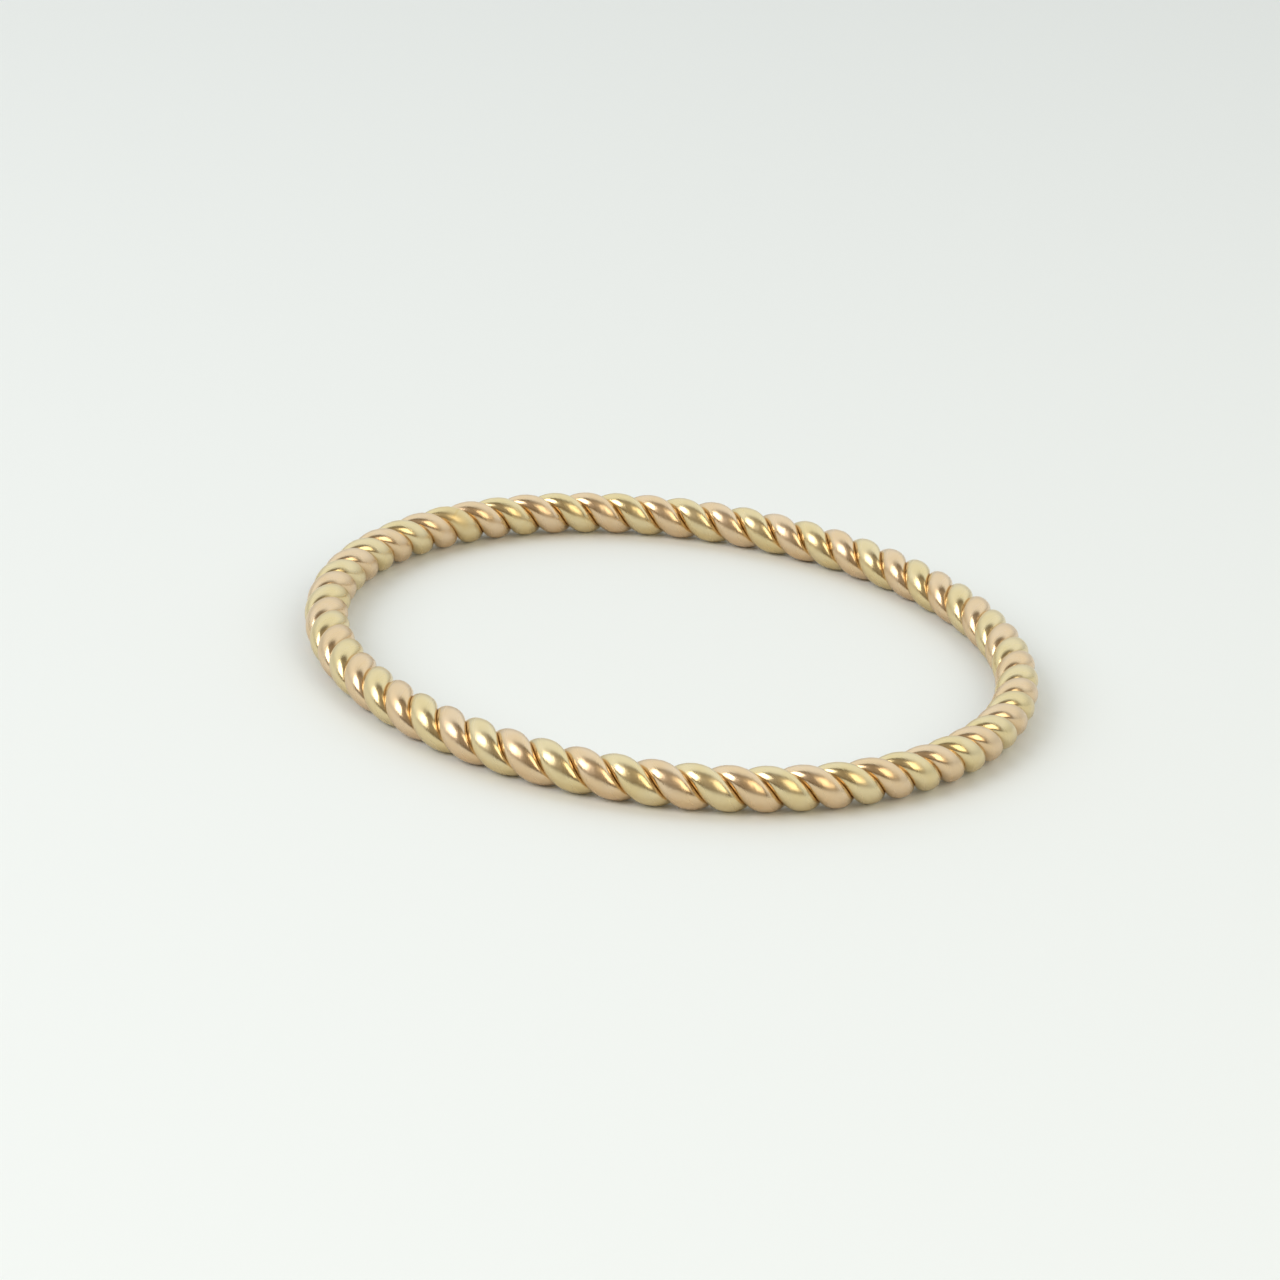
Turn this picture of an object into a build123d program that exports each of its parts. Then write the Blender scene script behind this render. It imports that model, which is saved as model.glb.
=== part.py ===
from build123d import *
import os
from math import cos, pi, radians, sin

# A two-colour twisted bangle: two round gold wires laid up like a two-strand rope and
# bent into a closed ring that slips over the hand. Each wire runs once round the ring,
# and its two ends meet in a soldered butt joint. Units are millimetres.
# The bangle lies flat: +Z is the axis of the ring, and the origin is on the surface that
# it rests on, under the middle of the wrist opening.

# Driving dimensions
wire_diameter = 2.0
inside_diameter = 60.0      # the opening that passes over the hand
strand_clearance = 0.01     # the strands all but touch along the middle of the rope
twists = 31                 # full turns of each strand on its way round the ring
crest_angle = 9.0           # degrees from +X, where the yellow strand stands outermost
seam_angle = 133.0          # degrees from +X, where the ends of the wires meet
solder_thickness = 0.15     # solder between the two ends of one wire
arcs_per_twist = 12         # tangent arcs that make up one turn of a strand

# Sizes that follow from them
wire_radius = wire_diameter / 2
helix_radius = (wire_diameter + strand_clearance) / 2
rope_radius = helix_radius + wire_radius
ring_radius = inside_diameter / 2 + rope_radius
pitch = 2 * pi * ring_radius / twists
wire_length = twists * ((2 * pi * helix_radius) ** 2 + pitch**2) ** 0.5
solder_angle = 2 * pi * solder_thickness / wire_length
arc_count = twists * arcs_per_twist
arc_angle = (2 * pi - solder_angle) / arc_count
first_joint_angle = radians(seam_angle) + solder_angle / 2

# The two strands stand opposite each other in the rope.
yellow_lead = 0
rose_lead = pi


def strand_corner(angle, lead):
    """A corner of a strand's outline, just outside its helix, at an angle round the ring."""
    radius = helix_radius / cos(pi / arcs_per_twist)
    turn = twists * (radians(crest_angle) - angle) + lead
    out = ring_radius + radius * cos(turn)
    return Vector(out * cos(angle), out * sin(angle), rope_radius + radius * sin(turn))


def lay_strand(lead):
    """Draw one strand: an arc cuts each corner, from the middle of one side to the next."""
    corners = [
        strand_corner(first_joint_angle + (k - 0.5) * arc_angle, lead)
        for k in range(arc_count + 2)
    ]
    joints = [(a + b) / 2 for a, b in zip(corners, corners[1:])]
    for k in range(arc_count):
        TangentArc(joints[k], joints[k + 1], tangent=corners[k + 1] - joints[k])


def draw_wire(path):
    """Draw the round section of the wire along the path."""
    with BuildSketch(Plane(origin=path @ 0, z_dir=path % 0)) as section:
        Circle(wire_radius)
    sweep(section.sketch, path=path)


with BuildPart() as yellow_gold_wire:
    with BuildLine() as yellow_line:
        lay_strand(yellow_lead)
    yellow_path = yellow_line.wires()[0]
    draw_wire(yellow_path)

with BuildPart() as rose_gold_wire:
    with BuildLine() as rose_line:
        lay_strand(rose_lead)
    rose_path = rose_line.wires()[0]
    draw_wire(rose_path)

# The solder fills the gap between the square-cut ends of each wire.
with BuildPart() as yellow_wire_solder:
    with BuildLine() as yellow_gap:
        Spline(yellow_path @ 1, yellow_path @ 0, tangents=[yellow_path % 1, yellow_path % 0])
    draw_wire(yellow_gap.wires()[0])

with BuildPart() as rose_wire_solder:
    with BuildLine() as rose_gap:
        Spline(rose_path @ 1, rose_path @ 0, tangents=[rose_path % 1, rose_path % 0])
    draw_wire(rose_gap.wires()[0])

yellow_gold_wire.part.label = "yellow_gold_wire"
rose_gold_wire.part.label = "rose_gold_wire"
yellow_wire_solder.part.label = "yellow_wire_solder"
rose_wire_solder.part.label = "rose_wire_solder"

os.makedirs("parts", exist_ok=True)
for piece in (yellow_gold_wire, rose_gold_wire, yellow_wire_solder, rose_wire_solder):
    export_step(piece.part, f"parts/{piece.part.label}.step")

print("ring radius", round(ring_radius, 3), "pitch", round(pitch, 3))
for name, path, wire in (
    ("yellow", yellow_path, yellow_gold_wire),
    ("rose", rose_path, rose_gold_wire),
):
    section = pi * wire_radius**2
    print(name, "length", round(path.length, 2), "volume", round(wire.part.volume, 2))
    print(name, "section times length", round(section * path.length, 2))
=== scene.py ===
import bpy
import math
import numpy as np
from mathutils import Matrix, Vector


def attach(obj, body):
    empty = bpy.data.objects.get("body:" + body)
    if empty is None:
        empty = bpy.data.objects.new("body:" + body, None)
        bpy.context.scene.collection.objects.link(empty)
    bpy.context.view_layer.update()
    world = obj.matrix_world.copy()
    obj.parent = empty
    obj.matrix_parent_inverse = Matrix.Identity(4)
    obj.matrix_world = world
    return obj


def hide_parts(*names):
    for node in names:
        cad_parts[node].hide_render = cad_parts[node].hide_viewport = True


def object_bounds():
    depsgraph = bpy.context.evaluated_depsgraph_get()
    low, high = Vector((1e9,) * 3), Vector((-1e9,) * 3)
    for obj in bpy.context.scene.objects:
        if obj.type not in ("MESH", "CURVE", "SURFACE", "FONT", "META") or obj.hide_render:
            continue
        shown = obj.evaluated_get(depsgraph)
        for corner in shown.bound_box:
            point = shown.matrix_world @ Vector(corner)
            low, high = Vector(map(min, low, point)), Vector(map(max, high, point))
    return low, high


# A two-colour twisted bangle on a pale floor. Lengths are in metres, angles in radians.
# Each wire is one closed mesh, laid round the ring as a lobe of the rope's section, and a
# thin slice of solder closes it at the seam.

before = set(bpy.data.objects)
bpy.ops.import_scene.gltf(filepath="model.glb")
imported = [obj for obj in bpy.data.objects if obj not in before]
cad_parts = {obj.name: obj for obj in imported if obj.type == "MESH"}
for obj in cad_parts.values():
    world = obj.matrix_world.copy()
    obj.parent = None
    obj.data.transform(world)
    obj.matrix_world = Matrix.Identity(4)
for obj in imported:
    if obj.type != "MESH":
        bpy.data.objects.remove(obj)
cad_low, cad_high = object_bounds()

# ---- Driving dimensions: the rope's size comes from the frame ----
rope_radius = (cad_high.z - cad_low.z) / 2
ring_radius = (cad_high.y - cad_low.y) / 2 - rope_radius
twists = 31                             # full turns of each strand round the ring
crest_angle = math.radians(9.0)         # where the yellow strand stands outermost
seam_angle = math.radians(133.0)        # where the ends of the wires meet
solder_length = 0.15e-3                 # along the wire, between its two ends
polish_depth = 6e-6                     # buffed off the crests
strand_gap = 10e-6                      # half the gap between the strands
groove_radius = 1.20e-3                 # from the rope's middle to the bottom of the groove
lobe_roundness = 2.1                    # higher makes the top of a lobe flatter
lobe_fullness = 0.62                    # lower makes its flanks steeper
wear_depth = 24e-6                      # deepest of the shallow dents in the crests
seam_spread = math.radians(2.6)         # of the patch dulled by the torch
sharp_angle = math.radians(50)          # edges turning by more than this stay crisp

# ---- Fineness of the meshes ----
sections_per_twist = 48
solder_sections = 3
lobe_points = 36                        # across the outside of a lobe
face_points = 4                         # across its flat inner face

# ---- Sizes that follow from them ----
# The slope is of the wire's middle, and the stretch is its length over the ring's.
wire_slope = twists * 0.5 * rope_radius / ring_radius
wire_stretch = math.hypot(1, wire_slope)
half_solder = solder_length / (ring_radius * wire_stretch) / 2
# Sections lean by this much round the ring for each radian of turn, square to the wire.
shear_radius = 0.87 * rope_radius
shear = twists * shear_radius**2 / (ring_radius**2 + (twists * shear_radius) ** 2)


# ---- Wires and solder ----
def lobe_section():
    """Outline of one strand in the rope's section: across, sideways, and turn about the rope."""
    span = np.sin(np.linspace(-1, 1, lobe_points) * math.pi / 2)
    turn = span * math.pi / 2
    rise = (1 - np.abs(span) ** lobe_roundness) ** lobe_fullness
    crest_radius = rope_radius - polish_depth - strand_gap
    radius = groove_radius + (crest_radius - groove_radius) * rise
    across = radius * np.cos(turn)
    sideways = radius * np.sin(turn)
    inner = np.linspace(groove_radius, -groove_radius, face_points + 2)[1:-1]
    across = np.append(across, np.zeros(face_points)) + strand_gap
    sideways = np.append(sideways, inner)
    turn = np.append(turn, inner / groove_radius * math.pi / 2)
    return across, sideways, turn


def dents(angle, turn, seed):
    """Shallow dents of wear, from 0 to 1: broad, middling and fine waves, added up."""
    broad = np.sin(angle * 97 + seed) * np.sin(turn * 2.3 + angle * 41 + 2 * seed)
    middling = np.sin(angle * 263 + turn * 3.1 + 3 * seed)
    fine = np.sin(angle * 611 - turn * 5.3 + 5 * seed)
    return 0.5 + (broad + 0.6 * middling + 0.4 * fine) / 4


def wrap(angle):
    """An angle brought to between minus half a turn and half a turn."""
    return (angle + math.pi) % (2 * math.pi) - math.pi


def strand_points(lead, angle, section):
    """The strand's surface at angles round the ring, one row of points for each section."""
    across, sideways, turn = section
    wear = wear_depth * dents(angle, turn, 1 + lead) * np.clip(across / rope_radius, 0, 1)
    phase = twists * (crest_angle - angle) + lead
    out = ring_radius + (across - wear) * np.cos(phase) - sideways * np.sin(phase)
    up = rope_radius + (across - wear) * np.sin(phase) + sideways * np.cos(phase)
    surface = np.stack([out * np.cos(angle), out * np.sin(angle), up], -1)
    return surface.reshape(-1, 3)


def tube_mesh(name, points, count, around):
    """A closed tube through rows of points, each end filled by a fan about its middle."""
    index = np.arange(count * around).reshape(count, around)
    near = index[:-1]
    far = index[1:]
    quads = np.stack([far, np.roll(far, -1, 1), np.roll(near, -1, 1), near], -1)
    faces = quads.reshape(-1, 4).tolist()
    corners = points.tolist()
    for rim, order in ((index[0], 1), (index[-1], -1)):
        middle = len(corners)
        corners.append(points[rim].mean(0).tolist())
        for here, there in zip(rim, np.roll(rim, -1)):
            faces.append([int(here), int(there), middle][::order])
    mesh = bpy.data.meshes.new(name)
    mesh.from_pydata(corners, [], faces)
    mesh.update()
    mesh.shade_smooth()
    mesh.set_sharp_from_angle(angle=sharp_angle)
    return mesh


def store_surface(mesh, first, angle, section):
    """Store on each point what the metal depends on. The two end middles take no part."""
    across, sideways, turn = section
    height = np.hypot(across, sideways)
    outer = across > 2 * strand_gap
    crest = (height - groove_radius) / (rope_radius - groove_radius) * outer
    round_wire = turn * shear_radius * math.sin(math.atan(1 / wire_slope))
    for label, values in (
        ("along", (angle - first) * ring_radius * wire_stretch),
        ("around", np.broadcast_to(round_wire, angle.shape)),
        ("crest", np.broadcast_to(crest, angle.shape)),
        ("seam", np.exp(-((wrap(angle - seam_angle) / seam_spread) ** 2))),
    ):
        layer = mesh.attributes.new(label, "FLOAT", "POINT")
        layer.data.foreach_set("value", np.append(values.reshape(-1), [0.0, 0.0]))


def strand_piece(name, lead, first, last, count, material):
    """A strand as a closed mesh, from the first angle round the ring to the last."""
    section = lobe_section()
    turn = section[2]
    angle = np.linspace(first, last, count)[:, None] + shear * turn
    mesh = tube_mesh(name, strand_points(lead, angle, section), count, len(turn))
    store_surface(mesh, first, angle, section)
    mesh.materials.append(material)
    piece = bpy.data.objects.new(name, mesh)
    bpy.context.scene.collection.objects.link(piece)
    return piece


# ---- Material nodes ----
def node_material(name):
    """A new node material, its tree and its shader."""
    material = bpy.data.materials.new(name)
    material.use_nodes = True
    tree = material.node_tree
    return material, tree, tree.nodes["Principled BSDF"]


def attribute(tree, name):
    """A value stored on the mesh."""
    node = tree.nodes.new("ShaderNodeAttribute")
    node.attribute_name = name
    return node.outputs["Fac"]


def math_node(tree, operation, first, second):
    """A sum or product of two sockets, or of a socket and a number."""
    node = tree.nodes.new("ShaderNodeMath")
    node.operation = operation
    for socket, value in zip(node.inputs, (first, second)):
        if isinstance(value, (int, float)):
            socket.default_value = value
        else:
            tree.links.new(value, socket)
    return node.outputs["Value"]


def ramp(tree, value, low, high, bottom=0.0, top=1.0):
    """Smooth step of a value, from bottom at low to top at high."""
    node = tree.nodes.new("ShaderNodeMapRange")
    node.interpolation_type = "SMOOTHSTEP"
    tree.links.new(value, node.inputs["Value"])
    for label, number in (("From Min", low), ("From Max", high), ("To Min", bottom), ("To Max", top)):
        node.inputs[label].default_value = number
    return node.outputs["Result"]


def noise(tree, place, scale, detail):
    """Noise of so many lumps to the metre."""
    node = tree.nodes.new("ShaderNodeTexNoise")
    node.inputs["Scale"].default_value = scale
    node.inputs["Detail"].default_value = detail
    tree.links.new(place, node.inputs["Vector"])
    return node.outputs["Fac"]


def mix_colour(tree, factor, first, second):
    """The first colour where the factor is 0, and the second where it is 1."""
    node = tree.nodes.new("ShaderNodeMix")
    node.data_type = "RGBA"
    tree.links.new(factor, node.inputs["Factor"])
    slots = [socket for socket in node.inputs if socket.type == "RGBA"]
    for socket, value in zip(slots, (first, second)):
        if isinstance(value, tuple):
            socket.default_value = (*value, 1)
        else:
            tree.links.new(value, socket)
    return [socket for socket in node.outputs if socket.type == "RGBA"][0]


# ---- Gold ----
fine_scale = 9000           # grain, and scratches across the wire, to the metre
scratch_stretch = 0.22      # scratches are longer along the wire
blotch_scale = 420          # patches of paler, duller metal, to the metre
grain_relief = 0.6          # of the grain, against the scratches
relief_depth = 9e-6
polished = 0.18             # roughness of the smoothest metal
satin_rise = 0.10           # what each of these adds to the roughness
scratch_rise = 0.10
seam_rise = 0.2


def scratches(tree):
    """Fine strokes that lie along the wire."""
    place = tree.nodes.new("ShaderNodeCombineXYZ")
    stretched = math_node(tree, "MULTIPLY", attribute(tree, "along"), scratch_stretch)
    tree.links.new(stretched, place.inputs["X"])
    tree.links.new(attribute(tree, "around"), place.inputs["Y"])
    return noise(tree, place.outputs["Vector"], fine_scale, 4)


def gold_roughness(tree, crest, blotches, strokes):
    """Satin on the crests, scratched all over, dull near the seam."""
    top = ramp(tree, crest, 0.72, 0.99)
    satin = math_node(tree, "MULTIPLY", top, ramp(tree, blotches, 0.25, 0.6, 0.6, 1.0))
    scratch = math_node(tree, "MULTIPLY", strokes, scratch_rise)
    rough = math_node(tree, "ADD", math_node(tree, "MULTIPLY", satin, satin_rise), scratch)
    dull = math_node(tree, "MULTIPLY", attribute(tree, "seam"), seam_rise)
    rough = math_node(tree, "ADD", rough, dull)
    return math_node(tree, "ADD", rough, polished)


def gold_bump(tree, crest, strokes, grain):
    """Grain and scratches in relief, strongest on the crests."""
    relief = math_node(tree, "ADD", math_node(tree, "MULTIPLY", grain, grain_relief), strokes)
    worn = ramp(tree, crest, 0.3, 1.0, 0.25, 1.0)
    bump = tree.nodes.new("ShaderNodeBump")
    bump.inputs["Distance"].default_value = relief_depth
    bump.inputs["Strength"].default_value = 1.0
    tree.links.new(math_node(tree, "MULTIPLY", relief, worn), bump.inputs["Height"])
    return bump.outputs["Normal"]


def gold(name, colour, pale_colour, groove_shade_colour):
    """Worn gold: scratched satin crests, smoother flanks, and painted shade in the grooves, a darker,
    more orange colour there.
    """
    material, tree, shader = node_material(name)
    crest = attribute(tree, "crest")
    space = tree.nodes.new("ShaderNodeTexCoord").outputs["Object"]
    strokes = scratches(tree)
    blotches = noise(tree, space, blotch_scale, 3)
    grain = noise(tree, space, fine_scale, 2)
    tint = mix_colour(tree, ramp(tree, blotches, 0.35, 0.68), colour, pale_colour)
    # Painted shade: the colour turns darker and more orange towards the bottom of the grooves.
    groove_shade = ramp(tree, crest, 0.55, 0.0)
    tree.links.new(mix_colour(tree, groove_shade, tint, groove_shade_colour), shader.inputs["Base Color"])
    rough = gold_roughness(tree, crest, blotches, strokes)
    tree.links.new(rough, shader.inputs["Roughness"])
    tree.links.new(gold_bump(tree, crest, strokes, grain), shader.inputs["Normal"])
    shader.inputs["Metallic"].default_value = 1.0
    return material


# The third colour of each gold is painted shade for the grooves.
yellow = gold("yellow_gold", (0.75, 0.61, 0.335), (0.765, 0.64, 0.39), (0.70, 0.52, 0.27))
rose = gold("rose_gold", (0.76, 0.565, 0.345), (0.77, 0.595, 0.40), (0.70, 0.475, 0.26))
yellow_solder = gold("yellow_solder", (0.73, 0.57, 0.28), (0.74, 0.60, 0.33), (0.60, 0.40, 0.18))
rose_solder = gold("rose_solder", (0.74, 0.50, 0.26), (0.74, 0.53, 0.31), (0.60, 0.36, 0.16))

# ---- The four pieces: the strands stand opposite each other in the rope ----
start = seam_angle + half_solder
end = seam_angle + 2 * math.pi - half_solder
sections = twists * sections_per_twist + 1
for colour, lead, metal, solder_metal in (
    ("yellow", 0.0, yellow, yellow_solder),
    ("rose", math.pi, rose, rose_solder),
):
    wire = strand_piece(colour + "_wire", lead, start, end, sections, metal)
    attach(wire, "root")
    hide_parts(colour + "_gold_wire")
    solder_start = seam_angle - half_solder
    solder = strand_piece(
        colour + "_solder", lead, solder_start, start, solder_sections, solder_metal
    )
    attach(solder, "root")
    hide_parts(colour + "_wire_solder")


# ---- Floor ----
def pale_floor(size):
    """A matt, slightly cool floor."""
    bpy.ops.mesh.primitive_plane_add(size=size)
    plane = bpy.context.object
    plane.name = "floor"
    material, _, shader = node_material("pale_floor")
    shader.inputs["Base Color"].default_value = (0.835, 0.88, 0.905, 1)
    shader.inputs["Roughness"].default_value = 0.7
    shader.inputs["Specular IOR Level"].default_value = 0.2
    plane.data.materials.append(material)
    return plane


floor = pale_floor(4.0)


# ---- Light: a white tent, open and dim on the camera's side, a window and a warm lamp ----
def studio(opening, tent, edge, dim):
    """The world: white all round, dim about the opening's direction, with a dark edge."""
    world = bpy.data.worlds.new("studio")
    world.use_nodes = True
    tree = world.node_tree
    direction = tree.nodes.new("ShaderNodeTexCoord").outputs["Generated"]
    towards = tree.nodes.new("ShaderNodeVectorMath")
    towards.operation = "DOT_PRODUCT"
    towards.inputs[1].default_value = Vector(opening).normalized()
    tree.links.new(direction, towards.inputs[0])
    rim = ramp(tree, towards.outputs["Value"], 0.20, 0.38)
    inside = ramp(tree, towards.outputs["Value"], 0.40, 0.60)
    split = tree.nodes.new("ShaderNodeSeparateXYZ")
    tree.links.new(direction, split.inputs["Vector"])
    height = split.outputs["Z"]
    low_wall = tuple(0.62 * value for value in tent)
    wall = mix_colour(tree, ramp(tree, height, 0.0, 0.55), low_wall, tent)
    walls = mix_colour(tree, rim, wall, edge)
    room = mix_colour(tree, ramp(tree, height, 0.02, 0.42), edge, dim)
    tree.links.new(mix_colour(tree, inside, walls, room), tree.nodes["Background"].inputs["Color"])
    bpy.context.scene.world = world


def softbox(name, direction, distance, width, height, radiance, colour):
    """A rectangular soft light that points at the bangle's middle."""
    light = bpy.data.lights.new(name, "AREA")
    light.shape = "RECTANGLE"
    light.size = width
    light.size_y = height
    light.energy = radiance * math.pi * width * height
    light.color = colour
    lamp = bpy.data.objects.new(name, light)
    lamp.location = Vector(direction).normalized() * distance
    lamp.rotation_euler = (-lamp.location).to_track_quat("-Z", "Y").to_euler()
    lamp.visible_camera = False
    bpy.context.scene.collection.objects.link(lamp)


studio(
    opening=(-0.04, -0.92, 0.38),
    tent=(1.03, 1.085, 1.09),
    edge=(0.12, 0.09, 0.055),
    dim=(0.34, 0.285, 0.215),
)
softbox(
    "window",
    direction=(-0.70, -0.40, 0.59),
    distance=1.0,
    width=0.56,
    height=0.66,
    radiance=4.1,
    colour=(1, 0.98, 0.96),
)
softbox(
    "warm_lamp",
    direction=(0.57, -0.53, 0.62),
    distance=1.0,
    width=0.50,
    height=0.78,
    radiance=2.3,
    colour=(1, 0.89, 0.66),
)


# ---- Camera ----
def look(aim, distance, azimuth, elevation, roll):
    """A camera that looks at the aim from so far away, turned and raised by the angles."""
    back = Vector((
        -math.sin(azimuth) * math.cos(elevation),
        -math.cos(azimuth) * math.cos(elevation),
        math.sin(elevation),
    ))
    lens = bpy.data.cameras.new("camera")
    lens.lens = 104.0
    lens.sensor_width = 36.0
    lens.clip_start = 0.01
    lens.clip_end = 20.0
    camera = bpy.data.objects.new("camera", lens)
    camera.location = aim + back * distance
    upright = (-back).to_track_quat("-Z", "Y").to_matrix()
    camera.rotation_euler = (upright @ Matrix.Rotation(roll, 3, "Z")).to_euler()
    bpy.context.scene.collection.objects.link(camera)
    bpy.context.scene.camera = camera


look(
    aim=Vector((-0.0030, 0.0, rope_radius - 0.0004)),
    distance=0.342,
    azimuth=math.radians(2.55),
    elevation=math.radians(22.5),
    roll=math.radians(6.64),
)
bpy.context.scene.view_settings.view_transform = "Standard"
